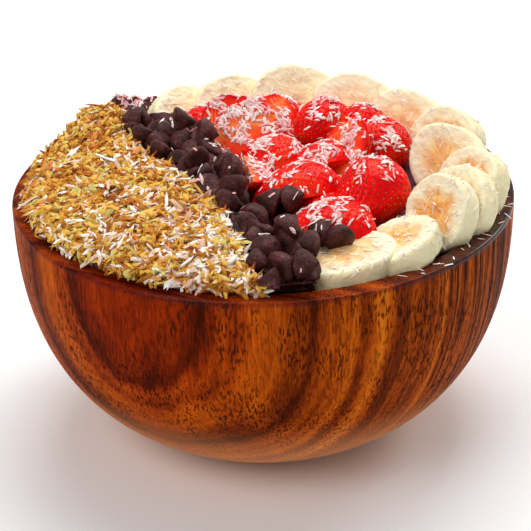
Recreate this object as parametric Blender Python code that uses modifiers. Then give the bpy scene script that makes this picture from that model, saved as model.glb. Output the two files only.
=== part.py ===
"""An acai bowl: a turned wooden bowl filled with acai and topped with toasted coconut,
chocolate chips, strawberries and banana slices.

Metres, +Z up. The bowl's axis is the Z axis and its foot stands on z = 0. The coconut lies
on the -X side, the chips run across the middle from back left to front, the strawberries
lie to their +X side and the banana slices are shingled along the rim behind and beside them.
"""

import math

import bmesh
import bpy
from mathutils import Matrix, Vector, noise

MM = 0.001

# The gap that touching pieces keep, and the larger one that a piece's cutter allows for it.
GAP = 0.3 * MM
ROOM = 0.45 * MM

# Edges that turn more sharply than this, in degrees, are shaded sharp.
SHARP_ANGLE = 40.0

# The bowl, a superellipse turned about Z and cut off flat at the foot.
BOWL_RADIUS = 89.0 * MM
BOWL_HEIGHT = 89.7 * MM
BOWL_CURVE_DEPTH = 93.5 * MM
BOWL_CURVE_POWER = 2.5
HOLLOW_RADIUS = 81.5 * MM
HOLLOW_DEPTH = 77.0 * MM
HOLLOW_POWER = 2.3
RIM_ARRIS = 1.0 * MM
RIM_INNER_ROUND = 1.6 * MM
TURNING_STEPS = 44

# How far round each curve the hollow's points lie, and how far down the bowl the outer ones.
HOLLOW_TURNS = (0.1, 0.22, 0.37, 0.54, 0.74)
SIDE_DEPTHS = (0.17, 0.36, 0.54, 0.7, 0.82, 0.92, 1.0)

# The acai: its level at the wall and how far its middle stands above that.
ACAI_LEVEL = 86.0 * MM
ACAI_CROWN = 2.5 * MM
ACAI_RINGS = (0.0, 0.45, 0.8)

# The heaps: where they end on the rim, and the crown, which stays nearly level until it is
# near the rim and then falls away steeply.
HEAP_RADIUS = 84.0 * MM
HEAP_FLOOR = ACAI_LEVEL + GAP
HEAP_EDGE_RADIUS = 85.0 * MM
HEAP_EDGE_HEIGHT = 91.0 * MM
HEAP_CROWN = 7.0 * MM
CROWN_FLATNESS = 7
CROWN_FALL = 0.6

# The coconut: its grid, the angle, in degrees, that its corners are cut back along the rim,
# a higher pile at the back left, and its tufts.
COCONUT_GRID = (11, 18)
COCONUT_CORNER = 4.0
COCONUT_PILE = Vector((-60.0, 48.0)) * MM
COCONUT_PILE_RADIUS = 22.0 * MM
COCONUT_PILE_RISE = 4.0 * MM
TUFT_SIZE = 9.0 * MM
TUFT_RISE = 2.0 * MM

# The band of chips: the compass directions, in degrees, where its left and right sides meet
# the rim at the back and at the front. On its way it bends and swells: how far along each
# bend is, how far it moves the band to the right, how much it widens each side, and its reach.
BAND_BACK = (133.0, 118.0)
BAND_FRONT = (270.0, 282.0)
BAND_BENDS = [
    (0.28, -2.0 * MM, 2.0 * MM, 0.16),
    (0.48, 3.5 * MM, -1.0 * MM, 0.14),
    (0.7, 0.5 * MM, -4.5 * MM, 0.1),
    (0.88, 4.0 * MM, 3.5 * MM, 0.08),
]

# The chips: the grid of their heap, and the bump for each chip.
CHIP_GRID = (6, 32)
CHIP_SIZE = 10.0 * MM
CHIP_RISE = 5.5 * MM
CHIP_STEEPNESS = 1.3

# The shapes that the fruit shares: the sides of a slice, its soft edge and its lobes, and the
# facets of a berry, how much fuller its shoulders are, and where its top is cut off flat.
BANANA_SIDES = 16
BANANA_SOFT_EDGE = 0.9 * MM
BANANA_THREE_LOBES = 0.018
BANANA_FIVE_LOBES = 0.012
BERRY_SEGMENTS = 12
BERRY_RINGS = 8
BERRY_FULLNESS = 0.24
BERRY_TOP = 0.86
BERRY_TWO_SIDES = 0.035
BERRY_THREE_SIDES = 0.02

# Each banana slice, in millimetres and degrees: the compass direction and radius of its
# middle, its height, how far its face leans from level, the compass direction that the face
# looks to, and its length, width and thickness.
BANANA_SLICES = [
    (-67, 68.5, 90.6, 6, 195, 35.5, 27.0, 8.0),
    (-52, 70.5, 91.6, 19, 185, 30.0, 26.5, 8.4),
    (-34, 72.5, 96.6, 62, 224, 27.0, 25.0, 8.8),
    (-25, 74.5, 95.6, 60, 220, 27.5, 25.5, 8.5),
    (-12, 74.5, 95.0, 57, 214, 28.5, 27.0, 8.8),
    (2, 67.0, 95.0, 60, 240, 33.0, 27.0, 8.6),
    (18, 71.0, 95.2, 58, 228, 29.0, 27.0, 8.6),
    (35, 66.5, 95.2, 55, 242, 33.0, 27.5, 8.6),
    (56, 65.5, 95.4, 54, 264, 36.0, 27.5, 8.8),
    (78, 66.0, 95.6, 55, 284, 37.0, 28.0, 8.8),
    (99, 65.0, 93.2, 52, 300, 36.0, 26.5, 8.6),
    (116, 64.5, 92.2, 50, 318, 33.0, 26.5, 8.4),
    (130, 67.0, 89.6, 9, 320, 24.0, 23.0, 7.5),
]

# Each strawberry piece, in millimetres and degrees: x, y, z of its middle, length, width,
# how it is cut, compass direction and rise of its tip, and of its cut face.
STRAWBERRIES = [
    (36.0, -23, 95.7, 29, 24.5, "whole", 225, -8, 0, 0),
    (19, -42, 95.4, 37, 27, "half", 190, -6, 250, -66),
    (10, -11, 96.2, 33, 27, "half", 195, -4, 230, -50),
    (32.5, 11, 96.5, 25, 19, "half", 262, -40, 215, 40),
    (43.5, 20, 95.5, 22, 20, "whole", 240, 10, 0, 0),
    (19, 10, 96.0, 26, 22, "half", 200, 0, 300, -45),
    (3, 14, 97.0, 26, 23, "half", 165, 5, 0, -85),
    (21.5, 38, 96.3, 23, 21.5, "whole", 215, 5, 0, 0),
    (34, 37, 96.0, 21, 19, "whole", 130, 0, 0, 0),
    (-8, 33, 97.5, 28, 25, "half", 15, 10, 270, 42),
    (1, 39, 97.0, 24, 21, "half", 60, 25, 285, 40),
    (10, 47, 96.5, 23, 20, "half", 20, -5, 100, -30),
    (-22, 45, 95.0, 20, 17, "whole", 120, 0, 0, 0),
    (-2.5, -4, 93.5, 21, 18, "quarter", 280, -5, 200, 20),
    (23, -24, 93.0, 21, 19, "half", 150, 5, 0, -85),
    (27, -7, 92.0, 20, 18, "half", 60, 0, 0, -85),
]

parts = bpy.data.collections.new("acai_bowl")
cutters = bpy.data.collections.new("cutters")


def clear_scene():
    for obj in list(bpy.data.objects):
        bpy.data.objects.remove(obj, do_unlink=True)
    for collection in (parts, cutters):
        bpy.context.scene.collection.children.link(collection)


def material(name, colour, roughness):
    """A plain Principled finish; nothing on this bowl is metal."""
    finish = bpy.data.materials.new(name)
    finish.use_nodes = True
    shader = finish.node_tree.nodes["Principled BSDF"]
    shader.inputs["Base Color"].default_value = (*colour, 1.0)
    shader.inputs["Roughness"].default_value = roughness
    shader.inputs["Metallic"].default_value = 0.0
    finish.diffuse_color = (*colour, 1.0)
    return finish


def add_object(name, mesh, finish=None, collection=parts):
    obj = bpy.data.objects.new(name, mesh)
    collection.objects.link(obj)
    if finish:
        mesh.materials.append(finish)
    return obj


def mesh_from(name, bm):
    bmesh.ops.recalc_face_normals(bm, faces=bm.faces)
    mesh = bpy.data.meshes.new(name)
    bm.to_mesh(mesh)
    bm.free()
    mesh.shade_smooth()
    mesh.set_sharp_from_angle(angle=math.radians(SHARP_ANGLE))
    return mesh


def compass(azimuth, rise):
    """The unit vector at a compass direction, in degrees from +X, and a rise above level."""
    azimuth = math.radians(azimuth)
    rise = math.radians(rise)
    level = math.cos(rise)
    return Vector((level * math.cos(azimuth), level * math.sin(azimuth), math.sin(rise)))


# ---------------------------------------------------------------- turned pieces


def curve_point(radius, depth, power, turn):
    """A point of a superellipse, from its bottom on the axis (turn 0) to its lip (turn 1)."""
    angle = turn * math.pi / 2
    across = radius * math.sin(angle) ** (2 / power)
    below_lip = depth * math.cos(angle) ** (2 / power)
    return across, BOWL_HEIGHT - below_lip


def radius_at(radius, depth, power, z):
    """The superellipse's radius at height z."""
    return radius * (1 - ((BOWL_HEIGHT - z) / depth) ** power) ** (1 / power)


def turned(name, profile, finish):
    """A solid of revolution; the profile's outer side runs from top to bottom."""
    mesh = bpy.data.meshes.new(name)
    points = [(x, 0.0, z) for x, z in profile]
    edges = [(i, i + 1) for i in range(len(points) - 1)]
    mesh.from_pydata(points, edges, [])
    obj = add_object(name, mesh, finish)
    screw = obj.modifiers.new("turn", "SCREW")
    screw.steps = screw.render_steps = TURNING_STEPS
    screw.use_merge_vertices = True
    screw.merge_threshold = 0.01 * MM
    screw.use_smooth_shade = True
    return obj


def hollow_profile(shrink, top):
    """The hollow's wall from its bottom on the axis up to the height top."""
    radius = HOLLOW_RADIUS - shrink
    depth = HOLLOW_DEPTH - shrink
    wall = [(0.0, BOWL_HEIGHT - depth)]
    wall += [curve_point(radius, depth, HOLLOW_POWER, turn) for turn in HOLLOW_TURNS]
    wall.append((radius_at(radius, depth, HOLLOW_POWER, top), top))
    return wall


def quarter_round(centre, radius, start, steps):
    """Points of a quarter circle that turns clockwise from the start angle, in degrees."""
    points = []
    for i in range(steps + 1):
        angle = math.radians(start - 90 * i / steps)
        points.append((centre[0] + radius * math.cos(angle), centre[1] + radius * math.sin(angle)))
    return points


def build_bowl():
    """The wooden bowl: its hollow, the flat rim with its two rounded edges, its outer side."""
    finish = material("oiled_wood", (0.25, 0.075, 0.028), 0.35)
    lip = BOWL_HEIGHT - RIM_INNER_ROUND
    inner_centre = (HOLLOW_RADIUS + RIM_INNER_ROUND, lip)
    outer_centre = (BOWL_RADIUS - RIM_ARRIS, BOWL_HEIGHT - RIM_ARRIS)
    profile = hollow_profile(0.0, ACAI_LEVEL)
    profile += quarter_round(inner_centre, RIM_INNER_ROUND, 180, 2)
    profile += quarter_round(outer_centre, RIM_ARRIS, 90, 2)
    for depth_share in SIDE_DEPTHS:
        z = BOWL_HEIGHT * (1 - depth_share)
        profile.append((radius_at(BOWL_RADIUS, BOWL_CURVE_DEPTH, BOWL_CURVE_POWER, z), z))
    profile.append((0.0, 0.0))
    return turned("bowl", profile, finish)


def build_acai():
    """The acai that fills the hollow, a gap away from the wall."""
    finish = material("acai", (0.09, 0.02, 0.05), 0.45)
    wall = hollow_profile(GAP, ACAI_LEVEL)
    edge = wall[-1][0]
    top = [(edge * ring, ACAI_LEVEL + ACAI_CROWN * (1 - ring**2)) for ring in ACAI_RINGS]
    return turned("acai_base", top + wall[::-1], finish)


# ---------------------------------------------------------------- heaps


def crown_height(x, y):
    """The level that the loose toppings reach, lowest at the rim."""
    share = min(math.hypot(x, y) / HEAP_EDGE_RADIUS, 1.0)
    return HEAP_EDGE_HEIGHT + HEAP_CROWN * (1 - share**CROWN_FLATNESS) ** CROWN_FALL


def rim_point(angle):
    """The point at which a heap ends on the rim, at a compass direction in degrees."""
    return Vector((math.cos(math.radians(angle)), math.sin(math.radians(angle)))) * HEAP_RADIUS


def band_point(along, across):
    """A point of the chip band: along from 0 at the back to 1 at the front, across -1 to 1."""
    share = 0.5 + 0.5 * across
    back = rim_point(BAND_BACK[0] + (BAND_BACK[1] - BAND_BACK[0]) * share)
    front = rim_point(BAND_FRONT[0] + (BAND_FRONT[1] - BAND_FRONT[0]) * share)
    run = front - back
    side = Vector((-run.y, run.x)).normalized()
    shift = 0.0
    for place, move, widening, reach in BAND_BENDS:
        shift += (move + across * widening) * math.exp(-(((along - place) / reach) ** 2))
    return back + run * along + side * shift


def heap_solid(name, grid, place, height, finish):
    """A closed heap: a grid whose corners place() puts in plan and height() lifts."""
    columns, rows = grid
    bm = bmesh.new()
    bmesh.ops.create_grid(bm, x_segments=columns, y_segments=rows, size=1.0)
    for vert in bm.verts:
        plan = place(0.5 + 0.5 * vert.co.x, 0.5 + 0.5 * vert.co.y)
        vert.co = Vector((plan.x, plan.y, height(plan.x, plan.y)))
    border = [edge for edge in bm.edges if edge.is_boundary]
    skirt = bmesh.ops.extrude_edge_only(bm, edges=border)["geom"]
    lowered = [item for item in skirt if isinstance(item, bmesh.types.BMVert)]
    for vert in lowered:
        vert.co.z = HEAP_FLOOR
    bottom = [edge for edge in bm.edges if edge.is_boundary]
    bmesh.ops.contextual_create(bm, geom=bottom)
    bmesh.ops.triangulate(bm, faces=bm.faces)
    return add_object(name, mesh_from(name, bm), finish)


def chip_lift(x, y):
    """How far the rounded chips stand above the crown: a bump for each, a chip size apart."""
    spot = Vector((x / CHIP_SIZE, y / CHIP_SIZE, 0.0))
    distances, _ = noise.voronoi(spot)
    return CHIP_RISE * max(0.0, 1.0 - CHIP_STEEPNESS * distances[0])


def build_coconut():
    """The heap of toasted coconut between the rim and the chip band."""
    finish = material("toasted_coconut", (0.75, 0.5, 0.16), 0.8)

    back = BAND_BACK[0] + COCONUT_CORNER
    front = BAND_FRONT[0] - COCONUT_CORNER

    def place(across, along):
        rim = rim_point(back + (front - back) * along)
        return rim.lerp(band_point(along, -1.0), across)

    def height(x, y):
        tufts = TUFT_RISE * noise.noise(Vector((x, y, 0.0)) / TUFT_SIZE)
        from_pile = (Vector((x, y)) - COCONUT_PILE).length / COCONUT_PILE_RADIUS
        pile = COCONUT_PILE_RISE * max(0.0, 1.0 - from_pile**2)
        return crown_height(x, y) + tufts + pile

    return heap_solid("toasted_coconut_heap", COCONUT_GRID, place, height, finish)


def build_chips():
    """The heap of chips that fills the band."""
    finish = material("dark_chocolate", (0.055, 0.03, 0.03), 0.5)

    def place(across, along):
        return band_point(along, 2.0 * across - 1.0)

    def height(x, y):
        return crown_height(x, y) + chip_lift(x, y)

    return heap_solid("chocolate_chip_heap", CHIP_GRID, place, height, finish)


# ---------------------------------------------------------------- fruit


def turn_to(z_axis, x_hint):
    """The rotation whose Z is z_axis and whose X leans as near to x_hint as it can."""
    z_axis = z_axis.normalized()
    x_axis = (x_hint - z_axis * x_hint.dot(z_axis)).normalized()
    y_axis = z_axis.cross(x_axis)
    return Matrix((x_axis, y_axis, z_axis)).transposed().to_4x4()


def build_banana(number, slice_data, finish):
    """A slice of banana: a slightly lobed disc, its long way along the rim."""
    ring_angle, ring_radius, height, lean, facing, length, width, thickness = slice_data
    bm = bmesh.new()
    bmesh.ops.create_cone(
        bm,
        cap_ends=True,
        segments=BANANA_SIDES,
        radius1=0.5,
        radius2=0.5,
        depth=thickness * MM,
    )
    for vert in bm.verts:
        angle = math.atan2(vert.co.y, vert.co.x)
        three = BANANA_THREE_LOBES * math.cos(3 * angle + number)
        five = BANANA_FIVE_LOBES * math.cos(5 * angle - 2 * number)
        lobes = 1 + three + five
        vert.co.x *= length * lobes * MM
        vert.co.y *= width * lobes * MM
    name = f"banana_slice_{number:02d}"
    obj = add_object(name, mesh_from(name, bm), finish)
    bevel = obj.modifiers.new("soft_edge", "BEVEL")
    bevel.width = BANANA_SOFT_EDGE
    bevel.segments = 1
    bevel.limit_method = "ANGLE"
    middle = compass(ring_angle, 0) * ring_radius + Vector((0, 0, height))
    turned_to_face = turn_to(compass(facing, 90 - lean), compass(ring_angle + 90, 0))
    obj.matrix_world = Matrix.Translation(middle * MM) @ turned_to_face
    return obj


def build_strawberry(number, piece_data, finish):
    """A hulled strawberry, whole or cut lengthwise in half or in quarters."""
    x, y, z, length, width, cut, tip_azimuth, tip_rise, face_azimuth, face_rise = piece_data
    bm = bmesh.new()
    bmesh.ops.create_uvsphere(
        bm,
        u_segments=BERRY_SEGMENTS,
        v_segments=BERRY_RINGS,
        radius=1.0,
    )
    for vert in bm.verts:
        # The tip is at -Z, and the top is cut off flat where the leaves were.
        from_top = math.acos(max(-1.0, min(1.0, vert.co.z)))
        around = math.atan2(vert.co.y, vert.co.x)
        fullness = 1 + BERRY_FULLNESS * math.cos(from_top)
        two = BERRY_TWO_SIDES * math.cos(2 * around + number)
        three = BERRY_THREE_SIDES * math.cos(3 * around)
        reach = 0.5 * width * MM * math.sin(from_top) * fullness * (1 + two + three)
        vert.co.x = reach * math.cos(around)
        vert.co.y = reach * math.sin(around)
        vert.co.z = 0.5 * length * MM * min(math.cos(from_top), BERRY_TOP)
    cuts = {"whole": [], "half": [(1, 0, 0)], "quarter": [(1, 0, 0), (0, 1, 0)]}[cut]
    for normal in cuts:
        geometry = bm.verts[:] + bm.edges[:] + bm.faces[:]
        sliced = bmesh.ops.bisect_plane(
            bm,
            geom=geometry,
            plane_co=(0, 0, 0),
            plane_no=normal,
            clear_outer=True,
            dist=0.001 * MM,
        )
        rim = [item for item in sliced["geom_cut"] if isinstance(item, bmesh.types.BMEdge)]
        bmesh.ops.edgeloop_fill(bm, edges=rim)
    # The piece is placed by the middle of what is left of it.
    lows = [min(vert.co[axis] for vert in bm.verts) for axis in range(3)]
    highs = [max(vert.co[axis] for vert in bm.verts) for axis in range(3)]
    middle = Vector([(low + high) / 2 for low, high in zip(lows, highs)])
    bmesh.ops.translate(bm, vec=-middle, verts=bm.verts)
    name = f"strawberry_{number:02d}"
    obj = add_object(name, mesh_from(name, bm), finish)
    tip = compass(tip_azimuth, tip_rise)
    face = compass(face_azimuth, face_rise) if cuts else compass(tip_azimuth + 90, 0)
    obj.matrix_world = Matrix.Translation(Vector((x, y, z)) * MM) @ turn_to(-tip, face)
    return obj


# ---------------------------------------------------------------- fitting together


def enlarged(obj):
    """A hidden copy of a piece, larger all round, that makes room for it in its neighbours."""
    graph = bpy.context.evaluated_depsgraph_get()
    mesh = bpy.data.meshes.new_from_object(obj.evaluated_get(graph))
    cutter = bpy.data.objects.new(obj.name + "_room", mesh)
    cutter.matrix_world = obj.matrix_world
    swell = cutter.modifiers.new("swell", "DISPLACE")
    swell.strength = ROOM
    swell.mid_level = 0.0
    cutter.hide_render = True
    cutter.display_type = "WIRE"
    cutters.objects.link(cutter)
    return cutter


def box_of(obj):
    """The lowest and highest corners of a mesh object in the scene."""
    corners = [obj.matrix_world @ vert.co for vert in obj.data.vertices]
    lowest = Vector([min(corner[axis] for corner in corners) for axis in range(3)])
    highest = Vector([max(corner[axis] for corner in corners) for axis in range(3)])
    return lowest, highest


def boxes_meet(first, second):
    """Whether the boxes of two pieces meet, or come nearer than the room between pieces."""
    low_a, high_a = box_of(first)
    low_b, high_b = box_of(second)
    return all(low_a[i] < high_b[i] + ROOM and low_b[i] < high_a[i] + ROOM for i in range(3))


def make_room(obj, rooms):
    """Cuts away what an object shares with each earlier piece that it could touch."""
    for room in rooms:
        if boxes_meet(obj, room):
            cut = obj.modifiers.new(room.name, "BOOLEAN")
            cut.operation = "DIFFERENCE"
            cut.solver = "EXACT"
            cut.object = room


def main():
    clear_scene()
    dish = [build_bowl(), build_acai()]
    banana_finish = material("banana", (0.92, 0.78, 0.48), 0.4)
    berry_finish = material("strawberry", (0.7, 0.02, 0.015), 0.25)
    fruit = [build_banana(i + 1, data, banana_finish) for i, data in enumerate(BANANA_SLICES)]
    fruit += [build_strawberry(i + 1, data, berry_finish) for i, data in enumerate(STRAWBERRIES)]
    heaps = [build_chips(), build_coconut()]
    # Each piece gives way to the dish and to the pieces that were laid before it.
    bpy.context.view_layer.update()
    rooms = [enlarged(obj) for obj in dish]
    for obj in fruit + heaps:
        room = enlarged(obj)
        make_room(obj, rooms)
        rooms.append(room)


main()
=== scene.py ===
import math
import random

import bmesh
import bpy
from mathutils import Matrix, Vector, kdtree, noise
from mathutils.bvhtree import BVHTree


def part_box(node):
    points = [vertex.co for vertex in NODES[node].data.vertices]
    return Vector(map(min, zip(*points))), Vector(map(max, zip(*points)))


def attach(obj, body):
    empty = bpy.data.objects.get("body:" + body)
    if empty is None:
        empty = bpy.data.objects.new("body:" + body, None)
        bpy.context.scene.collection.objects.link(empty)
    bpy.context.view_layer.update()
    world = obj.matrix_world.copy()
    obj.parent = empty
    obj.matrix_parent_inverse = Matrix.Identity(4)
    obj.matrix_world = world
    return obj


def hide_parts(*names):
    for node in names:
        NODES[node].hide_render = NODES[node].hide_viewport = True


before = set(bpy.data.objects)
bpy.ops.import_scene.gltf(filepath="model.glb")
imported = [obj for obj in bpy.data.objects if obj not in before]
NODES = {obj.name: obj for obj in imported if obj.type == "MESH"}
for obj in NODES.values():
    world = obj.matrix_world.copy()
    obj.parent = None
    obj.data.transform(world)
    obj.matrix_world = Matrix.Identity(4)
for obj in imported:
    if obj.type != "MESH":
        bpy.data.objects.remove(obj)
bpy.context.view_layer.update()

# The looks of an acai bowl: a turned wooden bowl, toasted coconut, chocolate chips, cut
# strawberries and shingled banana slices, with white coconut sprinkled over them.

MM = 0.001

# ------------------------------------------------------------------ driving dimensions

# The bowl: its curve, the hollow's curve, and the rounding of the rim's two edges.
BOWL_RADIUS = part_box("bowl")[1][0]
BOWL_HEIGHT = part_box("bowl")[1][2]
BOWL_CURVE_DEPTH = 93.5 * MM
BOWL_CURVE_POWER = 2.5
HOLLOW_RADIUS = 81.5 * MM
HOLLOW_DEPTH = 77.0 * MM
HOLLOW_POWER = 2.3
RIM_ARRIS = 0.9 * MM
RIM_INNER_ROUND = 1.6 * MM
TURNING_STEPS = 160

ACAI_GAP = 0.3 * MM
ACAI_LEVEL = 86.0 * MM
ACAI_CROWN = 2.5 * MM

# Each banana slice: compass direction of its middle, lean of its face from level, compass
# direction that the face looks to, length, width and thickness, in degrees and millimetres.
BANANA_SLICES = [
    (-67, 6, 195, 35.5, 27.0, 8.0),
    (-52, 19, 185, 30.0, 26.5, 8.4),
    (-34, 62, 224, 27.0, 25.0, 8.8),
    (-25, 60, 220, 27.5, 25.5, 8.5),
    (-12, 57, 214, 28.5, 27.0, 8.8),
    (2, 60, 240, 33.0, 27.0, 8.6),
    (18, 58, 228, 29.0, 27.0, 8.6),
    (35, 55, 242, 33.0, 27.5, 8.6),
    (56, 54, 264, 36.0, 27.5, 8.8),
    (78, 55, 284, 37.0, 28.0, 8.8),
    (99, 52, 300, 36.0, 26.5, 8.6),
    (116, 50, 318, 33.0, 26.5, 8.4),
    (130, 9, 320, 24.0, 23.0, 7.5),
]

# Each strawberry piece: length, width, how it is cut, compass direction and rise of its tip,
# and of its cut face, in millimetres and degrees.
STRAWBERRIES = [
    (29, 24.5, "whole", 225, -8, 0, 0),
    (37, 27, "half", 190, -6, 250, -66),
    (33, 27, "half", 195, -4, 230, -50),
    (25, 19, "half", 262, -40, 215, 40),
    (22, 20, "whole", 240, 10, 0, 0),
    (26, 22, "half", 200, 0, 300, -45),
    (26, 23, "half", 165, 5, 0, -85),
    (23, 21.5, "whole", 215, 5, 0, 0),
    (21, 19, "whole", 130, 0, 0, 0),
    (28, 25, "half", 15, 10, 270, 42),
    (24, 21, "half", 60, 25, 285, 40),
    (23, 20, "half", 20, -5, 100, -30),
    (20, 17, "whole", 120, 0, 0, 0),
    (21, 18, "quarter", 280, -5, 200, 20),
    (21, 19, "half", 150, 5, 0, -85),
    (20, 18, "half", 60, 0, 0, -85),
]

# Chips are strewn by chance over their heap: two layers, the upper one sparse. For each layer:
# how far apart, how deep each sinks from the heap's surface, and how many tries, in millimetres.
CHIP_LAYERS = [(6.3, (1.2, 3.4), 3000), (15.0, (-2.6, -1.4), 400)]
CHIP_DIAMETERS = (8.8, 11.0)
CHIPS_ON_THEIR_SIDE = 0.45
CHIP_EDGE_ROOM = 1.8

# Chips that rolled off the band: the piece whose box places each, its shares of the box
# across and back, and how far, in millimetres, its middle is above the box.
LOOSE_CHIPS = [
    ("strawberry_02", -0.03, 1.06, -6.8),
    ("strawberry_02", 0.2, 1.06, -5.8),
    ("banana_slice_01", 0.26, 0.78, 2.0),
    ("banana_slice_01", 0.43, 0.68, 1.5),
    ("banana_slice_01", 0.12, 0.5, 1.0),
]

# How thickly white coconut lies round the middle of each fruit: node number, radius in
# millimetres and amount.
SPRINKLED_BERRIES = {
    1: (9, 0.35),
    2: (12, 0.6),
    3: (11, 0.6),
    4: (11, 0.7),
    5: (11, 0.95),
    6: (12, 0.9),
    7: (15, 1.0),
    8: (11, 0.8),
    9: (9, 0.6),
    10: (15, 0.8),
    11: (12, 0.7),
    12: (10, 0.6),
    13: (8, 0.5),
    14: (8, 0.6),
}
# The same on the chips, with the middle as shares of the heap's box from left and from front.
SPRINKLED_CHIPS = [(0.16, 0.93, 10, 0.8), (0.35, 0.76, 6, 0.4)]


# ------------------------------------------------------------------ node trees


class Term:
    """A node's output; Python's operators on it add Math nodes."""

    def __init__(self, graph, socket):
        self.graph = graph
        self.socket = socket

    def output(self, name):
        """Another output of the same node."""
        return Term(self.graph, self.socket.node.outputs[name])

    def joined(self, operation, first, second):
        return self.graph.node("ShaderNodeMath", {"operation": operation}, {0: first, 1: second})

    def __add__(self, other):
        return self.joined("ADD", self, other)

    def __radd__(self, other):
        return self.joined("ADD", other, self)

    def __sub__(self, other):
        return self.joined("SUBTRACT", self, other)

    def __rsub__(self, other):
        return self.joined("SUBTRACT", other, self)

    def __mul__(self, other):
        return self.joined("MULTIPLY", self, other)

    def __rmul__(self, other):
        return self.joined("MULTIPLY", other, self)

    def __truediv__(self, other):
        return self.joined("DIVIDE", self, other)

    def __pow__(self, other):
        return self.joined("POWER", self, other)

    def __gt__(self, other):
        return self.joined("GREATER_THAN", self, other)


class Graph:
    """A node tree being written; node() adds any node and gives one of its outputs."""

    def __init__(self, tree):
        self.tree = tree

    def node(self, kind, settings=None, sockets=None, output=0):
        node = self.tree.nodes.new(kind)
        for name, value in (settings or {}).items():
            if name == "stops":
                self.set_stops(node.color_ramp, value)
            else:
                setattr(node, name, value)
        for name, value in (sockets or {}).items():
            for single in value if isinstance(value, list) else [value]:
                self.feed(node.inputs[name], single)
        return Term(self, node.outputs[output]) if node.outputs else None

    def feed(self, socket, value):
        if isinstance(value, Term):
            self.tree.links.new(value.socket, socket)
        else:
            socket.default_value = value

    @staticmethod
    def set_stops(ramp, stops):
        while len(ramp.elements) < len(stops):
            ramp.elements.new(1.0)
        for element, (position, colour) in zip(ramp.elements, stops):
            element.position = position
            element.color = colour

    def vector(self, operation, first, second, output=0):
        return self.node("ShaderNodeVectorMath", {"operation": operation}, {0: first, 1: second}, output)

    def clamped(self, low, high, value):
        """0 where value is low or less, 1 where it is high or more, smooth between."""
        return self.node(
            "ShaderNodeMapRange",
            {"interpolation_type": "SMOOTHSTEP"},
            {"Value": value, "From Min": low, "From Max": high},
        )


class Paint(Graph):
    """A material being written."""

    def __init__(self, name, **uniform):
        self.material = bpy.data.materials.new(name)
        self.material.use_nodes = True
        super().__init__(self.material.node_tree)
        self.shader = self.tree.nodes["Principled BSDF"]
        for socket, value in uniform.items():
            self.shader.inputs[socket.replace("_", " ")].default_value = value

    def place(self, x, y, z):
        """Object coordinates counted in steps of x, y and z millimetres."""
        here = self.node("ShaderNodeTexCoord", output="Object")
        return self.vector("MULTIPLY", here, (1000 / x, 1000 / y, 1000 / z))

    def noise(self, place, detail=2.0, roughness=0.5):
        sockets = {"Vector": place, "Scale": 1.0, "Detail": detail, "Roughness": roughness}
        return self.node("ShaderNodeTexNoise", {}, sockets, "Fac")

    def bands(self, along, detail=2.0, roughness=0.5):
        """Uneven bands along one number."""
        sockets = {"W": along, "Scale": 1.0, "Detail": detail, "Roughness": roughness}
        return self.node("ShaderNodeTexNoise", {"noise_dimensions": "1D"}, sockets, "Fac")

    def own(self, name, output="Vector"):
        """A piece's own attribute."""
        return self.node("ShaderNodeAttribute", {"attribute_name": name}, {}, output)

    def ramp(self, value, *stops):
        return self.node("ShaderNodeValToRGB", {"stops": stops}, {"Fac": value}, "Color")

    def mix(self, factor, first, second, blend="MIX"):
        settings = {"data_type": "RGBA", "blend_type": blend, "clamp_factor": True}
        return self.node("ShaderNodeMix", settings, {0: factor, 6: first, 7: second}, 2)

    def set(self, socket, value):
        self.feed(self.shader.inputs[socket], value)

    def bump(self, height, distance, strength=1.0):
        sockets = {"Height": height, "Distance": distance, "Strength": strength}
        self.set("Normal", self.node("ShaderNodeBump", {}, sockets, "Normal"))


def tint(red, green, blue):
    """A colour from its display values, 0 to 255."""
    linear = []
    for value in (red / 255, green / 255, blue / 255):
        linear.append(value / 12.92 if value <= 0.04045 else ((value + 0.055) / 1.055) ** 2.4)
    return (*linear, 1.0)


# ------------------------------------------------------------------ finishes

# The way across the tree's growth layers, level, towards the front left of the bowl.
ACROSS_LAYERS = (-0.456, -0.89, 0.0)


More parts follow.
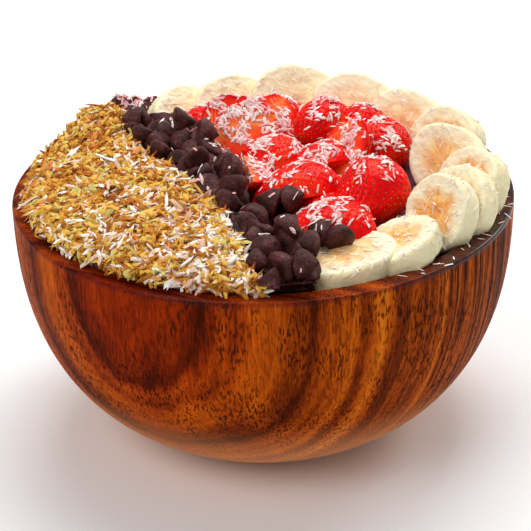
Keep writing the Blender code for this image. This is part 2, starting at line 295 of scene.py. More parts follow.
def wood_finish():
    """Oiled acacia: growth layers, dark streaks, fibres and pores that run up the bowl."""
    paint = Paint("oiled_wood", Coat_Roughness=0.12, IOR=1.45, Specular_IOR_Level=0.02)
    warp = paint.noise(paint.place(50, 50, 150), 1.0) - 0.5
    waver = paint.noise(paint.place(5, 5, 34), 2.0) - 0.5
    across = paint.vector("DOT_PRODUCT", paint.place(1, 1, 1), ACROSS_LAYERS, "Value")
    depth = paint.node("ShaderNodeMath", {"operation": "MAXIMUM"}, {0: 95.0 - across - warp * 8.0, 1: 0.5})
    layer = (depth + waver * 2.2) ** 0.55
    layers = paint.bands(layer * 1.0, 2.0, 0.5)
    fibres = paint.noise(paint.place(0.7, 0.7, 8), 3.0, 0.65)
    blotches = paint.noise(paint.place(12, 12, 30), 2.0)
    grain = layers * 0.6 + fibres * 0.24 + blotches * 0.16
    colour = paint.ramp(
        grain,
        (0.36, tint(70, 22, 3)),
        (0.44, tint(118, 42, 5)),
        (0.52, tint(164, 68, 8)),
        (0.6, tint(204, 98, 14)),
        (0.68, tint(234, 132, 30)),
    )
    red = paint.clamped(20.0, 6.0, depth)
    colour = paint.mix(red * 0.7, colour, tint(226, 128, 110), "MULTIPLY")
    heart = paint.clamped(30.0, 84.0, depth)
    colour = paint.mix(heart * 0.3, colour, tint(176, 156, 150), "MULTIPLY")
    streaks = paint.clamped(0.48, 0.62, paint.bands((depth + waver * 2.2) / 2.6, 2.0, 0.6))
    broken = paint.clamped(0.34, 0.56, paint.noise(paint.place(4, 4, 30), 1.0))
    sapwood = paint.clamped(0.5, 0.66, paint.bands((depth + waver * 2.2) / 1.6, 1.0, 0.5))
    colour = paint.mix(sapwood * heart * 0.4, colour, tint(222, 124, 40))
    calmer = 1.0 - paint.clamped(138.0, 166.0, depth) * 0.65
    colour = paint.mix(streaks * broken * (0.12 + heart * 0.88) * calmer, colour, tint(38, 13, 4))
    pores = paint.clamped(0.51, 0.6, paint.noise(paint.place(0.75, 0.75, 3.2), 1.0))
    open_pores = paint.clamped(0.4, 0.6, paint.noise(paint.place(13, 13, 24), 2.0)) * 0.5 + 0.3
    colour = paint.mix(pores * open_pores, colour, tint(48, 16, 4))
    height = paint.node("ShaderNodeSeparateXYZ", {}, {"Vector": paint.place(1, 1, 1)}).output("Z")
    # Painted light: the wall is paler towards the foot, standing for light bounced up from the floor.
    painted_floor_bounce = paint.clamped(40.0, 4.0, height)
    colour = paint.mix(painted_floor_bounce * 0.7, colour, tint(240, 170, 118))
    rim = paint.clamped(BOWL_HEIGHT / MM - 2.4, BOWL_HEIGHT / MM - 0.8, height)
    colour = paint.mix(rim * 0.8, colour, tint(196, 150, 132), "MULTIPLY")
    to_right = paint.node("ShaderNodeSeparateXYZ", {}, {"Vector": paint.place(1, 1, 1)})
    # The rim top is painted darker and glossier towards the right of the bowl.
    rim_dark_at_right = rim * paint.clamped(34.0, 66.0, to_right)
    colour = paint.mix(rim_dark_at_right * 0.75, colour, tint(44, 22, 18))
    paint.set("Base Color", colour)
    paint.set("Roughness", 0.42 - rim * 0.1 - rim_dark_at_right * 0.12 + fibres * 0.16 + pores * 0.15)
    paint.set("Coat Weight", rim * 0.12 + rim_dark_at_right * 0.4)
    paint.bump(fibres * 0.4 - pores * 0.8, 0.12 * MM, 0.5)
    return paint.material


def acai_finish():
    paint = Paint("acai", IOR=1.36)
    grains = paint.noise(paint.place(1.6, 1.6, 1.6), 4.0, 0.6)
    paint.set("Base Color", paint.ramp(grains, (0.3, tint(44, 12, 30)), (0.75, tint(88, 26, 58))))
    paint.set("Roughness", 0.28 + grains * 0.3)
    paint.bump(grains, 0.5 * MM)
    return paint.material


def coconut_core_and_gap_shade_finish():
    """Packed shreds seen between the loose ones, coloured darker as painted shade for the gaps."""
    paint = Paint("packed_coconut_painted_shade")
    clumps = paint.noise(paint.place(4.5, 4.5, 4.5), 3.0, 0.65)
    strands = paint.noise(paint.place(0.9, 0.9, 0.9), 4.0, 0.7)
    mixed = clumps * 0.5 + strands * 0.5
    # The dark stops are painted shade for the gaps between the loose shreds.
    colour = paint.ramp(
        mixed,
        (0.38, tint(44, 20, 6)),
        (0.52, tint(112, 64, 18)),
        (0.66, tint(190, 130, 50)),
    )
    paint.set("Base Color", colour)
    paint.set("Roughness", 0.7 + strands * 0.2)
    paint.bump(strands, 1.0 * MM)
    return paint.material


def shred_finish(name, *stops):
    """Coconut shreds; each takes its own colour between the stops, and patches differ."""
    paint = Paint(name, IOR=1.4, Specular_IOR_Level=0.3)
    tone = paint.own("tone", "Fac")
    patches = paint.noise(paint.place(15, 15, 15), 1.0)
    spots = paint.noise(paint.place(1.4, 1.4, 1.4), 2.0)
    paint.set("Base Color", paint.ramp(tone + (spots - 0.5) * 0.3 + (patches - 0.5) * 0.9, *stops))
    paint.set("Roughness", 0.5 + spots * 0.25)
    paint.bump(spots, 0.2 * MM, 0.5)
    return paint.material


def chocolate_finish():
    """Dark chocolate with a faint grey bloom and rubbed spots."""
    paint = Paint("dark_chocolate", IOR=1.45, Specular_IOR_Level=0.28)
    bloom = paint.noise(paint.place(5, 5, 5), 3.0, 0.6)
    dust = paint.noise(paint.place(0.8, 0.8, 0.8), 3.0, 0.7)
    colour = paint.ramp(
        bloom * 0.6 + dust * 0.4,
        (0.38, tint(38, 12, 10)),
        (0.5, tint(70, 27, 25)),
        (0.6, tint(104, 56, 54)),
        (0.7, tint(140, 104, 106)),
    )
    paint.set("Base Color", colour)
    paint.set("Roughness", 0.34 + bloom * 0.2)
    paint.bump(dust * 0.7 + bloom * 0.6, 0.8 * MM, 0.9)
    return paint.material


def banana_finish():
    """Banana flesh: a cream wall, a honey middle with paler rays from a three-rayed seam."""
    paint = Paint("banana", Subsurface_Weight=0.15, Subsurface_Scale=0.003, IOR=1.4, Specular_IOR_Level=0.3)
    parts = paint.node("ShaderNodeSeparateXYZ", {}, {"Vector": paint.own("slice")})
    u = parts
    v = parts.output("Y")
    depth = parts.output("Z")
    ripe = paint.own("ripe", "Fac")
    reach = (u * u + v * v) ** 0.5
    angle = paint.node("ShaderNodeMath", {"operation": "ARCTAN2"}, {0: v, 1: u})
    patches = paint.noise(paint.place(5.5, 5.5, 5.5), 3.0, 0.6)
    fuzz = paint.noise(paint.place(1.1, 1.1, 1.1), 3.0, 0.6)
    reach = reach + (patches - 0.5) * 0.5
    seam = paint.node("ShaderNodeMath", {"operation": "SINE"}, {0: angle * 3.0 + patches * 2.0})
    rays = paint.bands(angle * 5.0 + patches * 1.5, 3.0, 0.6)
    cream = paint.mix(fuzz, tint(255, 250, 224), tint(255, 236, 190))
    honey = paint.mix(paint.clamped(0.35, 0.65, rays * 0.5 + patches * 0.5), tint(244, 146, 48), tint(255, 220, 146))
    middle = paint.clamped(0.84, 0.4, reach) * ripe
    face = paint.clamped(0.84, 0.97, depth)
    colour = paint.mix(middle * face, cream, honey)
    centre = paint.clamped(0.28, 0.05, reach + seam * 0.05) * face
    colour = paint.mix(centre * 0.55 * ripe, colour, tint(228, 142, 56))
    wall = paint.mix(fuzz, tint(255, 248, 214), tint(250, 232, 172))
    colour = paint.mix(1.0 - face, colour, wall)
    paint.set("Base Color", colour)
    paint.set("Roughness", 0.32 + fuzz * 0.25)
    paint.bump(fuzz * 0.7 + rays * middle * 0.4, 0.5 * MM, 0.8)
    return paint.material


def berry_finish():
    """Wet strawberry skin: deep red, more orange on the shoulders, with painted shade darker in the pits."""
    paint = Paint(
        "strawberry_skin",
        Subsurface_Weight=0.1,
        Subsurface_Scale=0.003,
        Coat_Roughness=0.06,
        IOR=1.4,
        Specular_IOR_Level=0.08,
    )
    patches = paint.noise(paint.place(9, 9, 9), 2.0)
    pit = paint.own("pit", "Fac")
    colour = paint.ramp(
        patches,
        (0.34, tint(226, 0, 8)),
        (0.52, tint(252, 4, 8)),
        (0.68, tint(255, 50, 16)),
    )
    # Painted shade: the skin is darker in the pits round the seeds.
    colour = paint.mix(pit * 0.5, colour, tint(168, 0, 6))
    fuzz = paint.noise(paint.place(1.3, 1.3, 1.3), 2.0)
    paint.set("Base Color", colour)
    paint.set("Roughness", 0.24 + fuzz * 0.12)
    paint.set("Coat Weight", 0.2 - pit * 0.14)
    paint.bump(fuzz, 0.12 * MM, 0.4)
    return paint.material


def cut_berry_finish():
    """The cut face of a strawberry: red rim, orange-red flesh, pale fibres from the core."""
    paint = Paint(
        "strawberry_flesh",
        Subsurface_Weight=0.15,
        Subsurface_Scale=0.003,
        Coat_Roughness=0.1,
        IOR=1.38,
        Specular_IOR_Level=0.2,
    )
    parts = paint.node("ShaderNodeSeparateXYZ", {}, {"Vector": paint.own("cut")})
    side = paint.node("ShaderNodeMath", {"operation": "ABSOLUTE"}, {0: parts})
    along = parts.output("Y")
    patches = paint.noise(paint.place(3.2, 3.2, 3.2), 2.0)
    fibres = paint.bands(along * 9.0 + side * 3.0 + patches * 1.2, 2.0, 0.6)
    outwards = side + (patches - 0.5) * 0.2
    colour = paint.ramp(
        outwards,
        (0.1, tint(255, 128, 66)),
        (0.34, tint(255, 82, 26)),
        (0.74, tint(250, 46, 14)),
        (0.94, tint(224, 10, 14)),
    )
    pale = paint.clamped(0.54, 0.66, fibres) * paint.clamped(0.9, 0.5, outwards)
    colour = paint.mix(pale * 0.4, colour, tint(255, 176, 124))
    paint.set("Base Color", colour)
    paint.set("Roughness", 0.22 + patches * 0.16)
    paint.set("Coat Weight", 0.14 + patches * 0.12)
    paint.bump(fibres * 0.5 + patches * 0.5, 0.35 * MM, 0.6)
    return paint.material


def seed_finish():
    paint = Paint("strawberry_seed", IOR=1.4)
    patches = paint.noise(paint.place(7, 7, 7), 1.0)
    paint.set("Base Color", paint.ramp(patches, (0.38, tint(150, 40, 12)), (0.62, tint(228, 126, 44))))
    paint.set("Roughness", 0.3 + patches * 0.2)
    return paint.material


def floor_finish():
    paint = Paint("studio_floor", Roughness=0.9)
    faint = paint.noise(paint.place(400, 400, 400), 1.0)
    paint.set("Base Color", paint.ramp(faint, (0.4, tint(250, 250, 250)), (0.6, tint(252, 252, 252))))
    return paint.material


# ------------------------------------------------------------------ mesh helpers


def add_piece(name, mesh, *finishes):
    """Puts a finished mesh in the scene; its place is in its vertices."""
    obj = bpy.data.objects.new(name, mesh)
    bpy.context.scene.collection.objects.link(obj)
    for finish in finishes:
        mesh.materials.append(finish)
    return obj


def settled(obj, slot, *replaced):
    """Ties a piece to the body and hides the nodes it stands for; the slot is not used."""
    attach(obj, "root")
    if replaced:
        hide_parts(*replaced)
    return obj


def smooth_mesh(name, bm, sharp_angle=40.0):
    mesh = bpy.data.meshes.new(name)
    bm.to_mesh(mesh)
    bm.free()
    mesh.shade_smooth()
    mesh.set_sharp_from_angle(angle=math.radians(sharp_angle))
    return mesh


def compass(azimuth, rise):
    """The unit vector at a compass direction, in degrees from +X, and a rise above level."""
    azimuth = math.radians(azimuth)
    rise = math.radians(rise)
    level = math.cos(rise)
    return Vector((level * math.cos(azimuth), level * math.sin(azimuth), math.sin(rise)))


def turn_to(z_axis, x_hint):
    """The rotation whose Z is z_axis and whose X leans as near to x_hint as it can."""
    z_axis = z_axis.normalized()
    x_axis = (x_hint - z_axis * x_hint.dot(z_axis)).normalized()
    y_axis = z_axis.cross(x_axis)
    return Matrix((x_axis, y_axis, z_axis)).transposed().to_4x4()


def fit_to_node(bm, node):
    """Moves a turned shape so that its middle and its top are those of a CAD node's box."""
    low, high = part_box(node)
    lowest = [min(vert.co[axis] for vert in bm.verts) for axis in range(3)]
    highest = [max(vert.co[axis] for vert in bm.verts) for axis in range(3)]
    shift = Vector(
        (
            (low[0] + high[0] - lowest[0] - highest[0]) / 2,
            (low[1] + high[1] - lowest[1] - highest[1]) / 2,
            high[2] - highest[2],
        )
    )
    bmesh.ops.translate(bm, vec=shift, verts=bm.verts)
    return shift


def merged_copy(node):
    """A copy of a CAD node's mesh with its loose triangles joined."""
    bm = bmesh.new()
    bm.from_mesh(NODES[node].data)
    bmesh.ops.remove_doubles(bm, verts=bm.verts, dist=0.01 * MM)
    return bm


def ragged(point, size, depth):
    """A signed, seeded unevenness at a point."""
    return depth * noise.fractal(point / size, 1.0, 2.0, 3)


# ------------------------------------------------------------------ the bowl and the acai


def curve_point(radius, depth, power, turn):
    """A point of a superellipse, from its bottom on the axis (turn 0) to its lip (turn 1)."""
    angle = turn * math.pi / 2
    across = radius * math.sin(angle) ** (2 / power)
    return across, BOWL_HEIGHT - depth * math.cos(angle) ** (2 / power)


def radius_at(radius, depth, power, z):
    return radius * (1 - ((BOWL_HEIGHT - z) / depth) ** power) ** (1 / power)


def hollow_profile(shrink, top, points):
    """The hollow's wall from its bottom on the axis up to the height top."""
    radius = HOLLOW_RADIUS - shrink
    depth = HOLLOW_DEPTH - shrink
    wall = []
    for i in range(points):
        across, z = curve_point(radius, depth, HOLLOW_POWER, i / points)
        if z < top - 1.0 * MM:
            wall.append((across, z))
    wall.append((radius_at(radius, depth, HOLLOW_POWER, top), top))
    return wall


def quarter_round(centre, radius, start, steps):
    points = []
    for i in range(steps + 1):
        angle = math.radians(start - 90 * i / steps)
        points.append((centre[0] + radius * math.cos(angle), centre[1] + radius * math.sin(angle)))
    return points


def turned(profile, steps):
    """A closed solid of revolution; the profile starts and ends on the axis."""
    bm = bmesh.new()
    first = bm.verts.new((0, 0, profile[0][1]))
    last = bm.verts.new((0, 0, profile[-1][1]))
    rings = []
    for across, z in profile[1:-1]:
        ring = []
        for i in range(steps):
            angle = 2 * math.pi * i / steps
            ring.append(bm.verts.new((across * math.cos(angle), across * math.sin(angle), z)))
        rings.append(ring)
    for i in range(steps):
        j = (i + 1) % steps
        bm.faces.new((first, rings[0][i], rings[0][j]))
        for inner, outer in zip(rings, rings[1:]):
            bm.faces.new((inner[i], outer[i], outer[j], inner[j]))
        bm.faces.new((rings[-1][i], last, rings[-1][j]))
    bmesh.ops.recalc_face_normals(bm, faces=bm.faces)
    return bm


def build_bowl():
    lip = BOWL_HEIGHT - RIM_INNER_ROUND
    profile = hollow_profile(0.0, ACAI_LEVEL, 30)
    profile += quarter_round((HOLLOW_RADIUS + RIM_INNER_ROUND, lip), RIM_INNER_ROUND, 180, 5)
    arris = BOWL_HEIGHT - RIM_ARRIS
    profile += quarter_round((BOWL_RADIUS - RIM_ARRIS, arris), RIM_ARRIS, 90, 4)
    rows = 44
    for i in range(1, rows + 1):
        z = arris * (1 - i / rows)
        profile.append((radius_at(BOWL_RADIUS, BOWL_CURVE_DEPTH, BOWL_CURVE_POWER, z), z))
    profile.append((0.0, 0.0))
    mesh = smooth_mesh("turned_bowl", turned(profile, TURNING_STEPS), 35)
    return settled(add_piece("turned_bowl", mesh, wood_finish()), "wood", "bowl")


def build_acai():
    """The acai, its surface stirred into low swirls."""
    wall = hollow_profile(ACAI_GAP, ACAI_LEVEL, 16)
    edge = wall[-1][0]
    rings = 34
    top = []
    for i in range(rings):
        ring = i / rings
        top.append((edge * ring, ACAI_LEVEL + ACAI_CROWN * (1 - ring**2)))
    bm = turned(top + wall[::-1], 96)
    for vert in bm.verts:
        inside = 1 - math.hypot(vert.co.x, vert.co.y) / edge
        if vert.co.z > ACAI_LEVEL and inside > 0:
            vert.co.z += ragged(vert.co, 14 * MM, 1.4 * MM) * min(1.0, inside * 8)
    mesh = smooth_mesh("acai", bm)
    return settled(add_piece("acai", mesh, acai_finish()), "acai", "acai_base")


# ------------------------------------------------------------------ coconut

# Each form of sliver: how far its middle bends sideways, in its widths, and upwards, in its
# thicknesses, and how wide its ends are.
SHRED_SHAPES = [(0.0, 0.8, 0.8), (0.7, 1.6, 0.6), (-1.0, 0.6, 0.9), (1.3, 2.4, 0.5), (0.3, -1.0, 0.95)]

# Smallest and largest length, width and thickness of each kind, in metres.
SLIVERS = ((0.0013, 0.0005, 0.0002), (0.0044, 0.0013, 0.0005))
FLAKES = ((0.0015, 0.0006, 0.0002), (0.0050, 0.0016, 0.0005))
CRUMBS = ((0.0008, 0.0007, 0.0005), (0.0022, 0.0017, 0.0012))
FINE_SLIVERS = ((0.0006, 0.0003, 0.0002), (0.0021, 0.0009, 0.0003))
FLECKS = ((0.0006, 0.0002, 0.0001), (0.0021, 0.0004, 0.0002))

# The colours of the shreds, from one end of each kind to the other.
GOLDEN_STOPS = (
    (0.0, tint(160, 88, 20)),
    (0.35, tint(216, 148, 44)),
    (0.7, tint(238, 190, 78)),
    (1.0, tint(214, 200, 116)),
)
TOASTED_STOPS = ((0.0, tint(146, 66, 20)), (0.5, tint(206, 110, 34)), (0.95, tint(230, 152, 82)))
PALE_STOPS = ((0.0, tint(220, 180, 152)), (0.4, tint(244, 226, 208)), (0.9, tint(255, 252, 246)))
FLECK_STOPS = ((0.0, tint(246, 212, 184)), (0.4, tint(255, 240, 226)), (0.9, tint(255, 255, 252)))
WHITE_STOPS = ((0.0, tint(240, 150, 150)), (0.35, tint(252, 206, 202)), (0.9, tint(255, 246, 240)))



def shred_forms(graph):
    """Slivers to pick from, each 1 long along X, 1 wide and 1 thick before it is scaled."""
    forms = []
    for bend, lift, tip in SHRED_SHAPES:
        line = graph.node(
            "GeometryNodeCurveQuadraticBezier",
            {},
            {"Resolution": 2, "Start": (-0.5, 0, 0), "Middle": (0, bend, lift), "End": (0.5, 0, 0)},
        )
        along = graph.node("GeometryNodeSplineParameter") * 2.0 - 1.0
        taper = 1.0 - along * along * (1.0 - tip)
        tapered = graph.node("GeometryNodeSetCurveRadius", {}, {"Curve": line, "Radius": taper})
        section = graph.node("GeometryNodeCurvePrimitiveQuadrilateral", {}, {"Width": 1.0, "Height": 1.0})
        sliver = {"Curve": tapered, "Profile Curve": section, "Fill Caps": True}
        forms.append(graph.node("GeometryNodeCurveToMesh", {}, sliver))
    return graph.node("GeometryNodeGeometryToInstance", {}, {"Geometry": forms})


def random_between(graph, low, high, seed):
    """A random number, or a random vector where low and high are vectors, for each point."""
    single = isinstance(low, float) or isinstance(low, Term) and low.socket.type == "VALUE"
    kind, first, output = ("FLOAT", 2, 1) if single else ("FLOAT_VECTOR", 0, 0)
    sockets = {first: low, first + 1: high, "Seed": seed}
    return graph.node("FunctionNodeRandomValue", {"data_type": kind}, sockets, output)


def shred_tree():
    """Scatters shreds over a surface, thickest where its weight is 1."""
    tree = bpy.data.node_groups.new("scattered_shreds", "GeometryNodeTree")
    face = tree.interface
    face.new_socket("Geometry", in_out="INPUT", socket_type="NodeSocketGeometry")
    for name in ("Density", "Tilt", "Lowest", "Highest"):
        face.new_socket(name, in_out="INPUT", socket_type="NodeSocketFloat")
    for name in ("Smallest", "Largest"):
        face.new_socket(name, in_out="INPUT", socket_type="NodeSocketVector")
    face.new_socket("Seed", in_out="INPUT", socket_type="NodeSocketInt")
    face.new_socket("Finish", in_out="INPUT", socket_type="NodeSocketMaterial")
    face.new_socket("Geometry", in_out="OUTPUT", socket_type="NodeSocketGeometry")
    graph = Graph(tree)
    given = graph.node("NodeGroupInput")
    seed = given.output("Seed")
    weight = graph.node("GeometryNodeInputNamedAttribute", {"data_type": "FLOAT"}, {"Name": "weight"})
    points = graph.node(
        "GeometryNodeDistributePointsOnFaces",
        {"distribute_method": "RANDOM"},
        {"Mesh": given, "Density": weight * given.output("Density"), "Seed": seed},
    )
    lift = random_between(graph, given.output("Lowest"), given.output("Highest"), seed + 1)
    offset = graph.node(
        "ShaderNodeVectorMath", {"operation": "SCALE"}, {0: points.output("Normal"), "Scale": lift}
    )
    lifted = graph.node("GeometryNodeSetPosition", {}, {"Geometry": points, "Offset": offset})
    lean = given.output("Tilt")
    tilts = [random_between(graph, lean * -1.0, lean, seed + 2 + i) for i in range(2)]
    heading = random_between(graph, 0.0, 2 * math.pi, seed + 4)
    spin = graph.node("ShaderNodeCombineXYZ", {}, {"X": 0.0, "Y": 0.0, "Z": heading})
    tip = graph.node("ShaderNodeCombineXYZ", {}, {"X": tilts[0], "Y": tilts[1], "Z": 0.0})
    facing = points.output("Rotation")
    for euler in (spin, tip):
        turn = graph.node("FunctionNodeEulerToRotation", {}, {"Euler": euler})
        sockets = {"Rotation": facing, "Rotate By": turn}
        facing = graph.node("FunctionNodeRotateRotation", {"rotation_space": "LOCAL"}, sockets)
    shreds = graph.node(
        "GeometryNodeInstanceOnPoints",
        {},
        {
            "Points": lifted,
            "Instance": shred_forms(graph),
            "Pick Instance": True,
            "Rotation": facing,
            "Scale": random_between(graph, given.output("Smallest"), given.output("Largest"), seed + 5),
        },
    )
    toned = graph.node(
        "GeometryNodeStoreNamedAttribute",
        {"data_type": "FLOAT", "domain": "INSTANCE"},
        {"Geometry": shreds, "Name": "tone", "Value": random_between(graph, 0.0, 1.0, seed + 6)},
    )
    real = graph.node("GeometryNodeRealizeInstances", {}, {"Geometry": toned})
    done = graph.node("GeometryNodeSetMaterial", {}, {"Geometry": real, "Material": given.output("Finish")})
    graph.node("NodeGroupOutput", {}, {"Geometry": done})
    return tree


def grown(name, mesh, tree, **inputs):
    """The plain mesh that a node tree makes from a mesh, with the tree's inputs by name."""
    obj = bpy.data.objects.new(name, mesh)
    bpy.context.scene.collection.objects.link(obj)
    growth = obj.modifiers.new("growth", "NODES")
    growth.node_group = tree
    for item in tree.interface.items_tree:
        if item.in_out == "INPUT" and item.name in inputs:
            growth[item.identifier] = inputs[item.name]
    bpy.context.view_layer.update()
    result = bpy.data.meshes.new_from_object(obj.evaluated_get(bpy.context.evaluated_depsgraph_get()))
    obj.modifiers.remove(growth)
    obj.data = result
    bpy.data.meshes.remove(mesh)
    return obj


def weighted(mesh, weigh):
    """A copy of a mesh that carries a weight, from its place and its normal, at each point."""
    copy = mesh.copy()
    weights = copy.attributes.new("weight", "FLOAT", "POINT")
    values = [weigh(vert.co, vert.normal) for vert in copy.vertices]
    weights.data.foreach_set("value", values)
    return copy


def heap_core(name, node, finish, cuts, inset, relief):
    """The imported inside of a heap: the CAD heap, a little smaller, with a lumpy surface."""
    bm = merged_copy(node)
    bmesh.ops.subdivide_edges(bm, edges=bm.edges, cuts=cuts, use_grid_fill=True)
    bm.normal_update()
    moves = []
    for vert in bm.verts:
        up = max(0.0, vert.normal.z)
        lumps = ragged(vert.co, relief[0], relief[1]) + ragged(vert.co, relief[2], relief[3])
        moves.append(vert.normal * (lumps * up - inset))
    for vert, move in zip(bm.verts, moves):
        vert.co += move
    mesh = smooth_mesh(name, bm, 60)
    return add_piece(name, mesh, finish)


def build_coconut(tree):
    core = heap_core(
        "packed_coconut_painted_shade",
        "toasted_coconut_heap",
        coconut_core_and_gap_shade_finish(),
        cuts=2,
        inset=1.4 * MM,
        relief=(8 * MM, 2.4 * MM, 2.4 * MM, 1.1 * MM),
    )
    settled(core, "toasted_coconut", "toasted_coconut_heap")
    low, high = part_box("toasted_coconut_heap")
    length = high[1] - low[1]

    def upward(place, normal):
        """Fewer shreds lie on steep sides, and those below the rim keep clear of the wall."""
        on_side = max(0.5, min(1.0, normal.z * 1.6 - 0.1)) if normal.z > -0.2 else 0.0
        if place.z > BOWL_HEIGHT + 0.8 * MM:
            return on_side
        reach = math.hypot(place.x, place.y)
        in_front = max(0.0, min(1.0, (-place.y / BOWL_RADIUS - 0.25) * 2.5))
        room = (HOLLOW_RADIUS + (in_front * 4.0 - 1.5) * MM - reach) / (3 * MM)
        return on_side * max(0.0, min(1.0, room))

    def tufted(place, normal):
        return upward(place, normal) * max(0.1, min(1.0, 0.8 + 2.2 * noise.noise(place / (4.5 * MM))))

    def paler_in_front(place, normal):
        to_front = (high[1] - place.y) / length
        to_right = (place.x - low[0]) / (high[0] - low[0])
        patch = max(0.0, 0.6 + 1.4 * noise.noise(place / (9 * MM)))
        return upward(place, normal) * (0.15 + 0.85 * to_front) * (0.35 + 0.9 * to_right) * patch

    def browner_behind(place, normal):
        to_back = (place.y - low[1]) / length
        return tufted(place, normal) * (0.2 + 0.8 * to_back)

    shreds = {
        "golden_shreds": (tufted, 640e3, 0.6, SLIVERS, GOLDEN_STOPS, 11),
        "toasted_shreds": (browner_behind, 700e3, 0.6, SLIVERS, TOASTED_STOPS, 23),
        "golden_crumbs": (tufted, 820e3, 0.9, CRUMBS, GOLDEN_STOPS, 29),
        "pale_shreds": (paler_in_front, 820e3, 0.45, FLAKES, PALE_STOPS, 37),
    }
    for name, (weigh, density, tilt, sizes, stops, seed) in shreds.items():
        obj = grown(
            name,
            weighted(core.data, weigh),
            tree,
            Density=density,
            Tilt=tilt,
            Lowest=0.0 * MM,
            Highest=2.6 * MM,
            Smallest=sizes[0],
            Largest=sizes[1],
            Seed=seed,
            Finish=shred_finish(name, *stops),
        )
        settled(obj, "toasted_coconut")


# ------------------------------------------------------------------ chocolate chips

# A chip's outline from the middle of its base to its tip: reach and height, for a diameter of 1.
CHIP_OUTLINE = [
    (0.0, 0.02),
    (0.22, 0.01),
    (0.38, 0.0),
    (0.46, 0.03),
    (0.5, 0.1),
    (0.49, 0.18),
    (0.44, 0.3),
    (0.36, 0.42),
    (0.26, 0.53),
    (0.17, 0.61),
    (0.1, 0.67),
    (0.05, 0.715),
    (0.0, 0.73),
]
CHIP_STEPS = 20
CHIP_MIDDLE = 0.27


def add_chip(bm, middle, tip, diameter, number):
    """One chip: a drop with a flat base and a tip that leans, in any direction."""
    chip = turned(CHIP_OUTLINE[::-1], CHIP_STEPS)
    lean = compass(number * 77, 0) * 0.07
    for vert in chip.verts:
        rise = vert.co.z / CHIP_OUTLINE[-1][1]
        vert.co += lean * rise**3
        vert.co *= 1 + ragged(vert.co + Vector((number * 3.1, 0, 0)), 0.4, 0.05)
        vert.co.z -= CHIP_MIDDLE
    chip.transform(Matrix.Translation(middle) @ turn_to(tip, compass(number * 37, 20)) @ Matrix.Scale(diameter, 4))
    mesh = bpy.data.meshes.new("chip")
    chip.to_mesh(mesh)
    chip.free()
    bm.from_mesh(mesh)
    bpy.data.meshes.remove(mesh)


def build_chips():
    finish = chocolate_finish()
    core = heap_core(
        "packed_chips",
        "chocolate_chip_heap",
        finish,
        cuts=1,
        inset=3.0 * MM,
        relief=(7 * MM, 1.0 * MM, 3 * MM, 0.4 * MM),
    )
    settled(core, "chocolate", "chocolate_chip_heap")
    heap = BVHTree.FromBMesh(merged_copy("chocolate_chip_heap"))
    low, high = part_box("chocolate_chip_heap")
    draw = random.Random(5)
    bm = bmesh.new()
    number = 0
    for apart, sinks, tries in CHIP_LAYERS:
        laid = []
        for _ in range(tries):
            x, y = draw.uniform(low[0], high[0]), draw.uniform(low[1], high[1])
            if any(math.hypot(x - other[0], y - other[1]) < apart * MM for other in laid):
                continue
            steps = [Vector()] + [compass(90 * i, 0) * CHIP_EDGE_ROOM * MM for i in range(4)]
            start = Vector((x, y, high[2] + 5 * MM))
            tops = [heap.ray_cast(start + step, Vector((0, 0, -1)))[0] for step in steps]
            if None in tops:
                continue
            laid.append((x, y))
            number += 1
            rise = draw.uniform(-35, 5) if draw.random() < CHIPS_ON_THEIR_SIDE else draw.uniform(-60, 80)
            tip = compass(draw.uniform(0, 360), rise)
            middle = Vector((x, y, tops[0].z - draw.uniform(*sinks) * MM))
            add_chip(bm, middle, tip, draw.uniform(*CHIP_DIAMETERS) * MM, number)
    for node, across, back, above in LOOSE_CHIPS:
        low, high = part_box(node)
        number += 1
        x = low[0] + across * (high[0] - low[0])
        y = low[1] + back * (high[1] - low[1])
        middle = Vector((x, y, high[2] + above * MM))
        add_chip(bm, middle, compass(draw.uniform(0, 360), 20), draw.uniform(*CHIP_DIAMETERS) * MM, number)
    chips = add_piece("chocolate_chips", smooth_mesh("chocolate_chips", bm, 50), finish)
    return settled(chips, "chocolate")


# ------------------------------------------------------------------ banana slices

BANANA_AROUND = 144
BANANA_FACE_RINGS = 30
BANANA_WALL_ROWS = 8
BANANA_ROUNDING = 1.1
RIPEST_SIDE = -25


